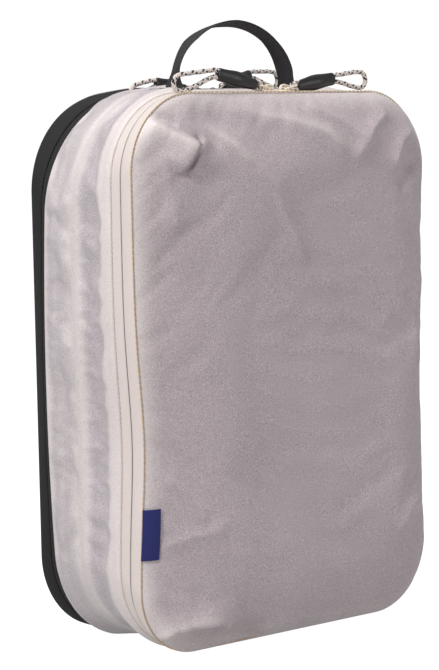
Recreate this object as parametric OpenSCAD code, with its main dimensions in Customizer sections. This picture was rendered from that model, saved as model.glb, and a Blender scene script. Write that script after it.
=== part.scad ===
// Compression packing cube: a soft fabric case that opens with one zip and expands with another.
// Frame: +Z up, front panel towards -Y, origin at the middle of the base. Millimetres.

/* [Body] */
// Width across the side band
width = 260; // [250:5:300]
// Height from the base to the top of the side band
height = 354; // [300:2:400]
// Depth from the front panel's seam to the back panel's seam
depth = 106; // [100:2:130]
// Radius of the side band's corners
corner_r = 60; // [50:1:62]
// How far each filled panel bulges past its seam
panel_bulge = 12; // [8:1:16]
// Width of the bulging margin of each panel, from seam to crown
crown_margin = 56; // [50:1:80]
// Thickness of the fabric, with its coating
fabric_t = 0.8; // [0.6:0.1:1]

/* [Zips] */
// Distance from a panel's seam to the zip's centre line
zip_from_seam = 11; // [11:0.5:14]
// Width of the zip tape that the side band covers
tape_lap = 7; // [5:1:9]
// Distance from the main zip's centre line to the side band's hem
front_tape_shown = 9; // [8.5:0.5:10]
// Distance from the compression zip's centre line to the side band's hem
back_tape_shown = 5; // [5:0.5:10]
// How far the zip tapes lie below the side band's outer face
tape_inset = 2.3; // [2:0.1:2.6]
// Thickness of the zip tape
tape_t = 0.6; // [0.5:0.1:0.7]
// Thickness of the coil of teeth, under the tape
coil_t = 2; // [1.8:0.1:2.2]
// Width of one half of the coil
coil_w = 2.8; // [2.6:0.1:3]
// Half of the slot between the two tapes, where the slider's neck runs
half_slot = 0.6; // [0.5:0.05:0.7]
// Half of the length of the base that has no teeth, where the lid hinges
hinge_half = 60; // [50:1:62]

/* [Sliders and pulls] */
// Length of a slider
slider_l = 12; // [11:0.5:13]
// Width of a slider
slider_w = 9; // [9:0.2:10]
// Clear space between a slider and the zip
slider_gap = 0.3; // [0.25:0.05:0.35]
// Distance from the place where the two sliders of a zip meet to a closed slider's middle
slider_x = 6.8; // [6.8:0.1:9]
// Place along the top where the two sliders of the main zip meet
main_meet_x = 5; // [-8:1:8]
// Place along the top where the two sliders of the compression zip meet
compression_meet_x = 18; // [-18:1:18]
// Radius of the wire in the pull ring
wire_r = 0.6; // [0.5:0.05:0.6]
// Length of the pull ring, between the axes of its two ends
ring_l = 9.2; // [9.2:0.2:11]
// Radius of the cord
cord_r = 1.5; // [1.3:0.05:1.5]
// Length of the grip over the cord
grip_l = 34; // [26:1:36]
// Angle at which a pull lies above the zip
pull_rest = 12; // [10:1:16]

/* [Handle] */
// Distance from one end of the handle to the other
handle_span = 101; // [80:1:104]
// Place along the top of the middle of the handle
handle_x = 4; // [-4:1:4]
// Height of the arch over its hinge line
handle_rise = 41; // [34:1:46]
// Width of the webbing
web_w = 18; // [16:1:20]
// Thickness of the webbing
web_t = 1.6; // [1.4:0.1:1.8]

/* [Tag] */
// Height, width and thickness of the side tag
tag_size = [34, 12.5, 0.8];
// Height of the tag's lower edge over the base
tag_z = 62; // [62:1:200]

/* [Hidden] */

FRONT = -1;
BACK = 1;
LEFT = -1;
RIGHT = 1;

cream = "#e6dcd6";
shell_grey = "#bdb2b6";
black = "#1f1e20";
cord_grey = "#cfc6c4";
gold = "#d9b982";
blue = "#22307c";

fine = 96;      // facets asked for on a circle of the outline
coarse = 32;    // facets of a circle inside a hull
zip_y = depth / 2 - zip_from_seam;
front_hem = zip_y - front_tape_shown;
back_hem = zip_y - back_tape_shown;
tape_top = height - tape_inset;
coil_inset = tape_inset + tape_t;
binding_t = 1.5;
binding_w = 4;
piping_r = 0.9;
piping_gap = 0.05;

pleat_leaf = 6.0;      // distance of the gusset's outer leaves from the zip's centre line
pleat_t = 0.6;
pleat_inset = 7.0;     // clears the underside of the sliders
pleat_depth = 10;

plate_t = 1.4;
foot_t = 1.2;
flange_t = 0.8;
neck_t = 0.8;
neck_l = 3;
bail_w = 2;
bail_l = 7;
bail_t = 1.4;
bail_post = 1.6;
bail_open = 2.6;
pivot_h = slider_gap + plate_t + 0.9;   // pull's hinge axis over the tape
ring_half = 3.3;

strand_z = wire_r + cord_r + 0.05;      // half of the distance between the cord's two strands
grip_start = ring_l + 2;
grip_end = grip_start + grip_l;
loop_r = 5.2;                           // of the cord's loop, and of the bends that open it
spread_r = 100;

hinge_h = 2.9;         // handle's hinge axis over the top of the side band
knuckle_r = 1.2;
knuckle_l = 3;
knuckle_gap = 0.2;
tab_l = 14;
handle_steps = 40;

// Rounded rectangle of the side band, in X and Z, drawn inset from its outer face
module outline(inset, fn = fine) {
    r = corner_r - inset;
    half_w = width / 2 - corner_r;
    half_h = height / 2 - corner_r;
    translate([0, height / 2]) {
        square([2 * (half_w + r), 2 * half_h], center = true);
        square([2 * half_w, 2 * (half_h + r)], center = true);
        for (x = [-half_w, half_w], z = [-half_h, half_h])
            translate([x, z]) circle(r, $fn = fn);
    }
}

// Slab of the outline's shape between two places on Y
module slab(inset, y0, y1, fn = fine) {
    translate([0, y1, 0]) rotate([90, 0, 0]) linear_extrude(y1 - y0) outline(inset, fn);
}

// Closed band that follows the outline, with a rectangular section
module band(inset, thickness, y0, y1) {
    translate([0, y1, 0]) rotate([90, 0, 0]) linear_extrude(y1 - y0) difference() {
        outline(inset);
        outline(inset + thickness);
    }
}

// Band on one side of the cube, measured from the middle outwards
module side_of(side, inset, thickness, from, to) {
    band(inset, thickness, min(side * from, side * to), max(side * from, side * to));
}

// Distance of the side band's hem from the middle, on one side
function hem_at(side) = side == FRONT ? front_hem : back_hem;

// Block over the base, wide enough to take the teeth out of a zip's hinge run
module hinge_run(side, half) {
    translate([-half, side * zip_y - slider_w / 2, -1]) cube([2 * half, slider_w, corner_r / 2]);
}

module side_band() {
    hem = tape_inset - fabric_t;
    hem_w = 2.5;
    color(shell_grey) {
        band(0, fabric_t, -front_hem, back_hem);
        for (side = [FRONT, BACK]) side_of(side, fabric_t, hem, hem_at(side) - hem_w, hem_at(side));
    }
}

module band_stay_tape() {
    color(cream) band(fabric_t, 0.6, 0, 10);
}

// Half of a zip's tape on the shell side
module tape_shell(side) {
    side_of(side, tape_inset, tape_t, hem_at(side) - tape_lap, zip_y - half_slot);
}

// Half of a zip's tape on the panel side, up to the panel's seam
module tape_panel(side) {
    side_of(side, tape_inset, tape_t, zip_y + half_slot, depth / 2);
}

module coil_shell(side) {
    side_of(side, coil_inset, coil_t, zip_y - half_slot - coil_w, zip_y - half_slot);
}

module coil_panel(side) {
    side_of(side, coil_inset, coil_t, zip_y + half_slot, zip_y + half_slot + coil_w);
}

module main_zip_tape_shell() { color(cream) tape_shell(FRONT); }

module main_zip_coil_shell() {
    color(cream) difference() {
        coil_shell(FRONT);
        hinge_run(FRONT, hinge_half);
    }
}

module hinge_strip() {
    half = hinge_half - 4;
    color(cream) translate([-half, -zip_y - 6, coil_inset]) cube([2 * half, 12, fabric_t]);
}

module zip_end_stops() {
    color(cream) for (side = [LEFT, RIGHT])
        translate([side * (hinge_half - 1.6) - 1.4, -zip_y + half_slot, coil_inset])
            cube([2.8, coil_w, coil_t + 0.4]);
}

module compression_zip_tape_shell() { color(black) tape_shell(BACK); }

module compression_zip_coil_shell() { color(black) coil_shell(BACK); }

// Fabric folded inwards behind the closed compression zip
module expansion_gusset() {
    inner = 0.2;
    color(shell_grey) for (s = [-1, 1]) {
        a = zip_y + s * pleat_leaf;
        b = zip_y + s * inner;
        y0 = min(a, b) - (s < 0 ? pleat_t : 0);
        y1 = max(a, b) + (s > 0 ? pleat_t : 0);
        out0 = s < 0 ? a - pleat_t : a;
        in0 = s < 0 ? b - pleat_t : b;
        band(coil_inset, pleat_inset + pleat_t - coil_inset, out0, out0 + pleat_t);
        band(pleat_inset, pleat_t, y0, y1);
        band(pleat_inset, pleat_depth, in0, in0 + pleat_t);
        band(pleat_inset + pleat_depth - pleat_t, pleat_t, min(zip_y, in0), max(zip_y, in0 + pleat_t));
    }
}

// Thin dome over a panel's seam
module dome(side, lift) {
    levels = 4;
    hull() for (k = [0:levels]) {
        s = k / levels;
        y = depth / 2 + lift + panel_bulge * (1 - pow(1 - s, 2));
        slab(tape_inset + crown_margin * s, min(side * y, side * (y + 0.01)), max(side * y, side * (y + 0.01)), coarse);
    }
}

module panel(side) {
    seam = depth / 2;
    difference() {
        union() {
            dome(side, fabric_t);
            slab(tape_inset, min(side * seam, side * (seam + fabric_t)), max(side * seam, side * (seam + fabric_t)),
                coarse);
        }
        scale([0.99, 1, 1]) dome(side, 0);
        slab(tape_inset + 8, min(side * (seam - 1), side * (seam + 0.5)), max(side * (seam - 1), side * (seam + 0.5)),
            coarse);
    }
}

module front_panel() { color(shell_grey) panel(FRONT); }

module back_panel() { color(shell_grey) panel(BACK); }

module main_zip_tape_lid() { color(cream) tape_panel(FRONT); }

module main_zip_coil_lid() {
    color(cream) difference() {
        coil_panel(FRONT);
        hinge_run(FRONT, hinge_half);
    }
}

// Closed loop of wire round a rectangle with rounded corners, in X and Z
module wire_loop(half_w, half_h, bend_r, r) {
    for (s = [-1, 1]) {
        translate([s * (half_w + bend_r), 0, -half_h]) cylinder(2 * half_h, r = r, $fn = 24);
        translate([-half_w, 0, s * (half_h + bend_r)]) rotate([0, 90, 0]) cylinder(2 * half_w, r = r, $fn = 24);
        for (t = [-1, 1]) translate([s * half_w, 0, t * half_h]) rotate([90, s > 0 ? (t > 0 ? 0 : 90) : (t > 0 ? 270 : 180), 0])
            wire_arc(bend_r, 90, r);
    }
}

// Arc of wire in X and Y, from the X axis counterclockwise
module wire_arc(bend_r, sweep, r) {
    rotate_extrude(angle = sweep, $fn = fine) translate([bend_r, 0]) circle(r, $fn = 24);
}

// Cord sewn into the front seam
module front_piping() {
    color(gold) translate([0, -depth / 2 - 0.4, height / 2])
        wire_loop(width / 2 - corner_r, height / 2 - corner_r, corner_r - tape_inset + piping_r + piping_gap, piping_r);
}

module seam_binding(side) {
    side_of(side, coil_inset, binding_t, depth / 2 - binding_w, depth / 2);
}

module front_seam_binding() { color(cream) seam_binding(FRONT); }

module back_seam_binding() { color(black) seam_binding(BACK); }

// Folded fabric tag caught in the front seam
module side_tag() {
    lean = 22.8;
    color(blue) translate([-width / 2 + 3.2, -depth / 2 - 2.7, tag_z]) rotate([0, 0, -lean]) {
        cube([tag_size[1], tag_size[2], tag_size[0]]);
        translate([tag_size[1], tag_size[2] / 2, 0]) cylinder(tag_size[0], r = tag_size[2] / 2, $fn = 24);
    }
}

module compression_zip_tape_back() { color(black) tape_panel(BACK); }

module compression_zip_coil_back() { color(black) coil_panel(BACK); }

// Slider at the origin: X along the zip, Z up from the tape, nose at -X, and the side towards +Y stays on the shell
module slider() {
    foot_z = -tape_t - coil_t - slider_gap - foot_t;
    translate([-slider_l / 2, -slider_w / 2, slider_gap]) cube([slider_l, slider_w, plate_t]);
    translate([-slider_l / 2, -slider_w / 2, foot_z]) cube([slider_l, slider_w, foot_t]);
    translate([-slider_l / 2, -neck_t / 2, foot_z]) cube([neck_l, neck_t, slider_gap - foot_z + 0.1]);
    translate([-slider_l / 2, slider_w / 2 - flange_t, foot_z])
        cube([slider_l, flange_t, -tape_t - 0.2 - foot_z]);
    for (s = [-1, 1])
        translate([s * (bail_l - bail_post) / 2 - bail_post / 2, -bail_w / 2, slider_gap + plate_t - 0.1])
            cube([bail_post, bail_w, bail_open + 0.2]);
    translate([-bail_l / 2, -bail_w / 2, slider_gap + plate_t + bail_open]) cube([bail_l, bail_w, bail_t]);
}

// Places a slider on the top run: end is LEFT or RIGHT of the middle, side is the FRONT or BACK zip
module on_zip(side, end) {
    translate([(side == FRONT ? main_meet_x : compression_meet_x) + end * slider_x, side * zip_y, tape_top])
        mirror([end < 0 ? 1 : 0, 0, 0]) mirror([0, side > 0 ? 1 : 0, 0]) children();
}

// Places a pull, drawn along +X from its hinge, on its slider
module on_pivot(side, end) {
    on_zip(side, end) translate([0, 0, pivot_h]) rotate([0, -pull_rest, 0]) children();
}

// Wire ring, flat in X and Y, hinged about Y
module pull_ring() {
    bend_r = 1.3;
    translate([ring_l / 2, 0, 0]) rotate([90, 0, 0])
        wire_loop(ring_l / 2 - bend_r, ring_half - bend_r, bend_r, wire_r);
}

// Points of an arc in the plane of a pull
function arc_points(x, radius, from, to, steps) =
    [for (k = [0:steps]) let (a = from + (to - from) * k / steps) [x + radius * cos(a), radius * sin(a)]];

// Points of the bend that opens the cord past the grip, on the upper or lower side
function bend_points(s, spread, steps) =
    [for (k = [0:steps - 1]) let (a = spread * k / steps)
        [grip_end + spread_r * sin(a), s * (strand_z + spread_r * (1 - cos(a)))]];

// Cord: hooked round the ring, through the grip, and out to an open teardrop
module pull_cord() {
    spread = acos((strand_z + spread_r) / (spread_r + loop_r));
    bend_steps = 4;
    upper = bend_points(1, spread, bend_steps);
    path = concat(
        arc_points(ring_l, strand_z, 90, 270, 12),
        bend_points(-1, spread, bend_steps),
        arc_points(grip_end + (spread_r + loop_r) * sin(spread), loop_r, -90 - spread, 90 + spread, 20),
        [for (k = [bend_steps - 1:-1:0]) upper[k]]
    );
    closed_cord(path, 14);
}

// Round cord along a closed path in X and Z
module closed_cord(path, sides) {
    n = len(path);
    points = [
        for (i = [0:n - 1])
            let (step = path[(i + 1) % n] - path[(i + n - 1) % n], side = [step[1], -step[0]] / norm(step))
            for (j = [0:sides - 1])
                let (c = cord_r * cos(360 * j / sides), h = cord_r * sin(360 * j / sides))
                [path[i][0] + side[0] * c, h, path[i][1] + side[1] * c]
    ];
    faces = [
        for (i = [0:n - 1], j = [0:sides - 1])
            let (a = i * sides, b = ((i + 1) % n) * sides, k = (j + 1) % sides)
            for (triangle = [[a + j, b + k, b + j], [a + j, a + k, b + k]]) triangle
    ];
    polyhedron(points, faces);
}

// Rubber sleeve shrunk over the cord, with a bulb at the slider's end
module pull_grip() {
    bore_r = cord_r + 0.05;
    bulb_r = 5.2;
    tip_r = 4.2;
    tail_r = 4.4;
    difference() {
        translate([grip_start, 0, 0]) rotate([0, 90, 0]) rotate_extrude($fn = 64)
            polygon([
                [0, 0], [tip_r, 0], [bulb_r - 0.3, grip_l * 0.15], [bulb_r, grip_l * 0.25], [bulb_r, grip_l * 0.4],
                [bulb_r - 0.5, grip_l * 0.55], [tail_r, grip_l * 0.7], [tail_r, grip_l], [0, grip_l]
            ]);
        for (s = [-1, 1])
            translate([grip_start - 1, 0, s * strand_z]) rotate([0, 90, 0]) cylinder(grip_l + 2, r = bore_r, $fn = 24);
        translate([grip_start - 1, -bore_r, -strand_z]) cube([grip_l + 2, 2 * bore_r, 2 * strand_z]);
    }
}

// Anchor of the handle: a tab sewn to the top of the band, and a knuckle on the hinge line
module handle_anchor(end) {
    x0 = handle_span / 2 + knuckle_gap;
    color(black) translate([handle_x, 0, height]) mirror([end < 0 ? 1 : 0, 0, 0]) translate([x0, 0, 0]) {
        translate([0, -web_w / 2, 0]) cube([tab_l, web_w, web_t]);
        translate([0, -knuckle_r, 0]) cube([knuckle_l, 2 * knuckle_r, hinge_h]);
        translate([0, 0, hinge_h]) rotate([0, 90, 0]) cylinder(knuckle_l, r = knuckle_r, $fn = 32);
    }
}

// Half ellipse of the arch at a distance from its middle line
function arch(offset) = [
    for (k = [0:handle_steps]) let (t = 180 * k / handle_steps)
        [-(handle_span / 2 - web_t / 2 + offset) * cos(t), (handle_rise + offset) * pow(sin(t), 0.9)]
];

module handle_loop() {
    flare = 11.5;   // height over which the webbing opens from the knuckle to its full width
    inner = arch(-web_t / 2);
    color(black) translate([handle_x, 0, height + hinge_h]) {
        intersection() {
            translate([0, web_w / 2, 0]) rotate([90, 0, 0]) linear_extrude(web_w)
                polygon(concat(arch(web_t / 2), [for (k = [handle_steps:-1:0]) inner[k]]));
            translate([-handle_span, 0, 0]) rotate([90, 0, 90]) linear_extrude(2 * handle_span) polygon([
                [-knuckle_r, 0], [knuckle_r, 0], [web_w / 2, flare], [web_w / 2, 2 * handle_rise],
                [-web_w / 2, 2 * handle_rise], [-web_w / 2, flare]
            ]);
        }
        for (s = [-1, 1])
            translate([s * (handle_span / 2 - knuckle_l / 2) - knuckle_l / 2, 0, 0]) rotate([0, 90, 0])
                cylinder(knuckle_l, r = knuckle_r, $fn = 32);
    }
}

module handle_anchor_left() { handle_anchor(LEFT); }

module handle_anchor_right() { handle_anchor(RIGHT); }

module main_slider_left() { color(cream) on_zip(FRONT, LEFT) slider(); }
module main_slider_right() { color(cream) on_zip(FRONT, RIGHT) slider(); }
module compression_slider_left() { color(black) on_zip(BACK, LEFT) slider(); }
module compression_slider_right() { color(black) on_zip(BACK, RIGHT) slider(); }

module main_ring_left() { color(cream) on_pivot(FRONT, LEFT) pull_ring(); }
module main_ring_right() { color(cream) on_pivot(FRONT, RIGHT) pull_ring(); }
module compression_ring_left() { color(black) on_pivot(BACK, LEFT) pull_ring(); }
module compression_ring_right() { color(black) on_pivot(BACK, RIGHT) pull_ring(); }

module main_cord_left() { color(cord_grey) on_pivot(FRONT, LEFT) pull_cord(); }
module main_cord_right() { color(cord_grey) on_pivot(FRONT, RIGHT) pull_cord(); }
module compression_cord_left() { color(cord_grey) on_pivot(BACK, LEFT) pull_cord(); }
module compression_cord_right() { color(cord_grey) on_pivot(BACK, RIGHT) pull_cord(); }

module main_grip_left() { color(black) on_pivot(FRONT, LEFT) pull_grip(); }
module main_grip_right() { color(black) on_pivot(FRONT, RIGHT) pull_grip(); }
module compression_grip_left() { color(black) on_pivot(BACK, LEFT) pull_grip(); }
module compression_grip_right() { color(black) on_pivot(BACK, RIGHT) pull_grip(); }

side_band();
band_stay_tape();
main_zip_tape_shell();
main_zip_coil_shell();
hinge_strip();
zip_end_stops();
compression_zip_tape_shell();
compression_zip_coil_shell();
expansion_gusset();
handle_anchor_left();
handle_anchor_right();
handle_loop();
front_panel();
main_zip_tape_lid();
main_zip_coil_lid();
front_piping();
front_seam_binding();
side_tag();
back_panel();
compression_zip_tape_back();
compression_zip_coil_back();
back_seam_binding();
main_slider_left();
main_slider_right();
compression_slider_left();
compression_slider_right();
main_ring_left();
main_ring_right();
compression_ring_left();
compression_ring_right();
main_cord_left();
main_cord_right();
compression_cord_left();
compression_cord_right();
main_grip_left();
main_grip_right();
compression_grip_left();
compression_grip_right();
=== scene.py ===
import math

import bmesh
import bpy
import numpy as np
from mathutils import Matrix, Vector


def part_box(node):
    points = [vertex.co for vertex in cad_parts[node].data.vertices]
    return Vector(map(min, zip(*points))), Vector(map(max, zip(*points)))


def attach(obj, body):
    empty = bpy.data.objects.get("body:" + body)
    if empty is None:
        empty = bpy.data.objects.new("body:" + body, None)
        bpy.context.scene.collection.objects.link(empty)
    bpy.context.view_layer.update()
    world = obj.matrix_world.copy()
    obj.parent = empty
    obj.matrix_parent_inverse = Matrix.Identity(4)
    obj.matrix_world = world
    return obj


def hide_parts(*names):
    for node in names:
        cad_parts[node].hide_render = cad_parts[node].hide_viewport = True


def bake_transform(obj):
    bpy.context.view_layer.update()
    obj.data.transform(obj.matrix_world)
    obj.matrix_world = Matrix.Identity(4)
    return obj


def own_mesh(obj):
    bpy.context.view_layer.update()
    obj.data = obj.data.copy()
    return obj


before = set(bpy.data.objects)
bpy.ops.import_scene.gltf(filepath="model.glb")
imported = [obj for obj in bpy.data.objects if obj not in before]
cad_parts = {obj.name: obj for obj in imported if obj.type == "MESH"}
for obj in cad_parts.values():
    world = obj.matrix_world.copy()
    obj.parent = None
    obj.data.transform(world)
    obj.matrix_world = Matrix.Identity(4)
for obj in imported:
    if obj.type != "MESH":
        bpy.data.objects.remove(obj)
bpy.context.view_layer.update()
MM = 0.001

# ---- places read from the frame

BAND_LOW, BAND_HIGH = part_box("side_band")
HALF_W = BAND_HIGH.x
TOP = BAND_HIGH.z
FRONT_HEM, BACK_HEM = BAND_LOW.y, BAND_HIGH.y
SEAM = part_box("back_seam_binding")[1].y
TAPE_INSET = HALF_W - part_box("main_zip_tape_lid")[1].x
TAPE_T = HALF_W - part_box("main_zip_coil_lid")[1].x - TAPE_INSET
ZIP = (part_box("compression_zip_coil_back")[0].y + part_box("compression_zip_coil_shell")[1].y) / 2
SLOT = 0.45 * MM                   # half the gap between a zip's two tapes
FRONT, BACK = -1, 1
LEFT, RIGHT = -1, 1

# ---- the case's outline

CORNER_R = 60 * MM
OUTLINE_DEPTHS = (-SEAM, FRONT_HEM, BACK_HEM, SEAM)
BASE_RADII = (45 * MM, 56 * MM, 58 * MM, 56 * MM)   # of the lower corners, at each of those depths
BASE_RIGHT_ROUNDER = 9 * MM        # how much larger the lower right corner's radius is
TOP_RADII = (52 * MM, 57 * MM, 76 * MM, 64 * MM)    # of the upper corners
# how far each long side draws in at its waist, at the front: most, at what height, and over what height
LEFT_WAIST = (5.4 * MM, 135 * MM, 55 * MM)
RIGHT_WAIST = (4.4 * MM, 110 * MM, 170 * MM)
HEM_DRAW = 1 * MM                  # how far the sides draw in at the back hem, at half height
HEM_TAPER = 8 * MM                 # and how much more at the base and the top
SEAM_DRAW = 4.9 * MM               # how far they have rolled in at the back seam
# the top of the back seam stands up beside the handle: how far, in what place, and over what half width
SEAM_RISE = (6.5 * MM, -32 * MM, 36 * MM)
STRAIGHT_X = HALF_W - CORNER_R
STRAIGHT_Z = TOP / 2 - CORNER_R
QUARTER = math.pi / 2 * CORNER_R
KNOTS = np.cumsum([0, STRAIGHT_X, QUARTER, 2 * STRAIGHT_Z, QUARTER, 2 * STRAIGHT_X, QUARTER,
                   2 * STRAIGHT_Z, QUARTER, STRAIGHT_X])
GIRTH = KNOTS[-1]
KNOT_X = np.array([0, 1, 1, 1, 1, -1, -1, -1, -1, 0])
KNOT_Z = np.array([-1, -1, -1, 1, 1, 1, 1, -1, -1, -1])
KNOT_ANGLE = np.radians([-90, -90, 0, 0, 90, 90, 180, 180, 270, 270])


def facing(run):
    """Outward angle at distances run round the case, from the middle of its base towards +X."""
    return np.interp(np.mod(run, GIRTH), KNOTS, KNOT_ANGLE)


def corner_radius(share_x, share_z, y):
    """Radius of the corners at depth y. The shares run from -1 to 1, left to right and base to top."""
    low = np.interp(y, OUTLINE_DEPTHS, BASE_RADII) + BASE_RIGHT_ROUNDER * (share_x + 1) / 2
    high = np.interp(y, OUTLINE_DEPTHS, TOP_RADII)
    return low + (high - low) * (share_z + 1) / 2


def width_scale(x, y, z):
    """How wide the case is next to its plain outline."""
    height = np.clip((z - TOP / 2) / (TOP / 2), -1, 1)
    most, middle, reach = (np.where(np.asarray(x) < 0, a, b) for a, b in zip(LEFT_WAIST, RIGHT_WAIST))
    front_draw = most * np.exp(-(((z - middle) / reach) ** 2))
    hem_draw = HEM_DRAW + HEM_TAPER * height ** 2
    front_share = np.interp(y, OUTLINE_DEPTHS, (1, 0.8, 0, 0))
    seam_share = np.interp(y, OUTLINE_DEPTHS, (0, 0, 0, 1))
    draw = front_draw * front_share + SEAM_DRAW * seam_share + hem_draw * (1 - front_share - seam_share)
    return 1 - draw / HALF_W


def seam_rise(x, y, z):
    """How far the top of the case is lifted between the back zip and the back seam."""
    most, middle, reach = SEAM_RISE
    past_zip = np.clip((y - ZIP - 4 * MM) / (SEAM - ZIP - 4 * MM), 0, 1)
    height = np.clip((z - TOP / 2) / (TOP / 2), 0, 1)
    return most * past_zip * height ** 6 * np.exp(-(((x - middle) / reach) ** 2))


def on_case(run, y, inset):
    """Points on the case at distances run round it, at depth y, and inset below the band's outer face."""
    run = np.mod(run, GIRTH)
    share_x, share_z, angle = np.interp(run, KNOTS, KNOT_X), np.interp(run, KNOTS, KNOT_Z), facing(run)
    radius = corner_radius(share_x, share_z, y)
    x = share_x * (HALF_W - radius) + (radius - inset) * np.cos(angle)
    z = share_z * (TOP / 2 - radius) + (radius - inset) * np.sin(angle) + TOP / 2
    return np.stack([x * width_scale(x, y, z), y + 0 * x, z + seam_rise(x, y, z)], axis=-1)


# ---- mesh helpers

def make_piece(name, points, faces, material):
    """A new smooth-shaded object from points and faces."""
    mesh = bpy.data.meshes.new(name)
    corners = [tuple(int(i) for i in face) for face in faces]
    mesh.from_pydata([tuple(p) for p in np.asarray(points, float)], [], corners)
    mesh.update()
    mesh.polygons.foreach_set("use_smooth", [True] * len(mesh.polygons))
    piece = bpy.data.objects.new(name, mesh)
    bpy.context.scene.collection.objects.link(piece)
    mesh.materials.append(material)
    return piece


def grid_faces(rows, columns, rows_close=False, columns_close=False, flip=False):
    """Quads of a grid of points stored row by row."""
    row_starts, column_starts = np.arange(rows - (not rows_close)), np.arange(columns - (not columns_close))
    i, j = np.meshgrid(row_starts, column_starts, indexing="ij")
    i2, j2 = (i + 1) % rows, (j + 1) % columns
    corners = [i * columns + j, i * columns + j2, i2 * columns + j2, i2 * columns + j]
    quads = np.stack(corners, axis=-1).reshape(-1, 4)
    return quads[:, ::-1] if flip else quads


def tube_faces(rows, sides):
    """Faces of a tube of so many rings, with its two ends closed."""
    ends = [list(range(sides))[::-1], list(range((rows - 1) * sides, rows * sides))]
    return [list(quad) for quad in grid_faces(rows, sides, columns_close=True)] + ends


def set_attribute(piece, name, values):
    """Stores a number for each point, for the materials to read."""
    attribute = piece.data.attributes.new(name, "FLOAT", "POINT")
    attribute.data.foreach_set("value", np.asarray(values, np.float32).ravel())


def finish_piece(piece, body, slot, *nodes):
    """Gives a piece its body and hides the CAD nodes it stands in for; its material slot is not used."""
    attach(piece, body)
    if nodes:
        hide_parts(*nodes)
    return piece


def paint_node(name, material):
    """Gives a CAD part that stays visible its material."""
    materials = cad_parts[name].data.materials
    materials.clear()
    materials.append(material)


def add_modifier(piece, kind, **values):
    modifier = piece.modifiers.new(kind.lower(), kind)
    for key, value in values.items():
        setattr(modifier, key, value)
    return modifier


def join_parts(parts):
    """One list of points and one of faces from several (points, faces) pairs."""
    points, faces, start = [], [], 0
    for part_points, part_faces in parts:
        points.append(np.asarray(part_points, float))
        faces.append(np.asarray(part_faces) + start)
        start += len(part_points)
    return np.concatenate(points), np.concatenate(faces)


def band(name, section, material, steps=464, span=None):
    """A strip round the case, or along part of it. Its section is a closed list of (depth, inset)."""
    section = np.array(section, float)
    closed = span is None
    run = np.arange(steps) * GIRTH / steps if closed else np.linspace(span[0], span[1], steps)
    rows, columns = len(run), len(section)
    run_grid = np.repeat(run, columns)
    y_grid = np.tile(section[:, 0], rows)
    inset_grid = np.tile(section[:, 1], rows)
    faces = grid_faces(rows, columns, True, True) if closed else tube_faces(rows, columns)
    piece = make_piece(name, on_case(run_grid, y_grid, inset_grid), faces, material)
    set_attribute(piece, "run", run_grid)
    set_attribute(piece, "across", y_grid)
    fix_normals(piece)
    return piece


def fix_normals(piece):
    """Turns all faces outwards."""
    work = bmesh.new()
    work.from_mesh(piece.data)
    bmesh.ops.recalc_face_normals(work, faces=work.faces)
    work.to_mesh(piece.data)
    work.free()


def strip_section(y0, y1, inset, thickness, crown=0.0):
    """Section of a flat tape between two depths, with an optional crown towards the outside."""
    share = np.linspace(0, 1, 9)
    y = y0 + (y1 - y0) * share
    rise = crown * 4 * share * (1 - share)
    outer = list(zip(y, inset - rise))
    inner = list(zip(y[::-1], (inset + thickness - rise)[::-1]))
    return outer + inner


# ---- materials

def srgb(r, g, b):
    """Linear colour of an 8-bit display colour."""
    return [((c / 255 + 0.055) / 1.055) ** 2.4 if c > 10 else c / 255 / 12.92 for c in (r, g, b)] + [1.0]


class Nodes:
    """A material's node tree, with a short way to add and link nodes."""

    def __init__(self, name, roughness, sheen=0.0):
        self.material = bpy.data.materials.new(name)
        self.material.use_nodes = True
        self.tree = self.material.node_tree
        self.shader = self.tree.nodes["Principled BSDF"]
        self.shader.inputs["Roughness"].default_value = roughness
        self.shader.inputs["Sheen Weight"].default_value = sheen
        self.shader.inputs["Sheen Roughness"].default_value = 0.4

    def put(self, value, socket):
        """Feeds a socket from another socket, or gives it a plain value."""
        if isinstance(value, bpy.types.NodeSocket):
            self.tree.links.new(value, socket)
        else:
            socket.default_value = value

    def add(self, kind, inputs, **values):
        node = self.tree.nodes.new(kind)
        for key, value in values.items():
            setattr(node, key, value)
        for key, value in inputs.items():
            self.put(value, node.inputs[key])
        return node

    def math(self, operation, a, b=0.0):
        node = self.add("ShaderNodeMath", {0: a, 1: b}, operation=operation)
        return node.outputs[0]

    def attribute(self, name):
        return self.add("ShaderNodeAttribute", {}, attribute_name=name).outputs["Fac"]

    def place(self):
        return self.add("ShaderNodeTexCoord", {}).outputs["Object"]

    def noise(self, scale, detail=2.0, place=None):
        inputs = {"Scale": scale, "Detail": detail, "Vector": place or self.place()}
        return self.add("ShaderNodeTexNoise", inputs).outputs["Fac"]

    def mix(self, factor, a, b):
        return self.add("ShaderNodeMix", {0: factor, 6: a, 7: b}, data_type="RGBA").outputs[2]

    def scaled(self, colour, factor):
        return self.add("ShaderNodeVectorMath", {0: colour, "Scale": factor}, operation="SCALE").outputs[0]

    def ramp(self, value, low, high, out_low=0.0, out_high=1.0):
        node = self.add("ShaderNodeMapRange", {"Value": value, "From Min": low, "From Max": high,
                                               "To Min": out_low, "To Max": out_high})
        return node.outputs["Result"]

    def shade(self, value, name="Base Color"):
        self.put(value, self.shader.inputs[name])

    def bump(self, height, distance, strength):
        node = self.add("ShaderNodeBump", {"Height": height, "Distance": distance, "Strength": strength})
        self.shade(node.outputs["Normal"], "Normal")


RIPSTOP_PITCH = 5.5 * MM
RIPSTOP_SHARE = 0.06               # how far the grid of thicker threads is lightened
CREASE_SHADE = 0.42                # how bright the bottom of a crease stays under its painted shade


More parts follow.
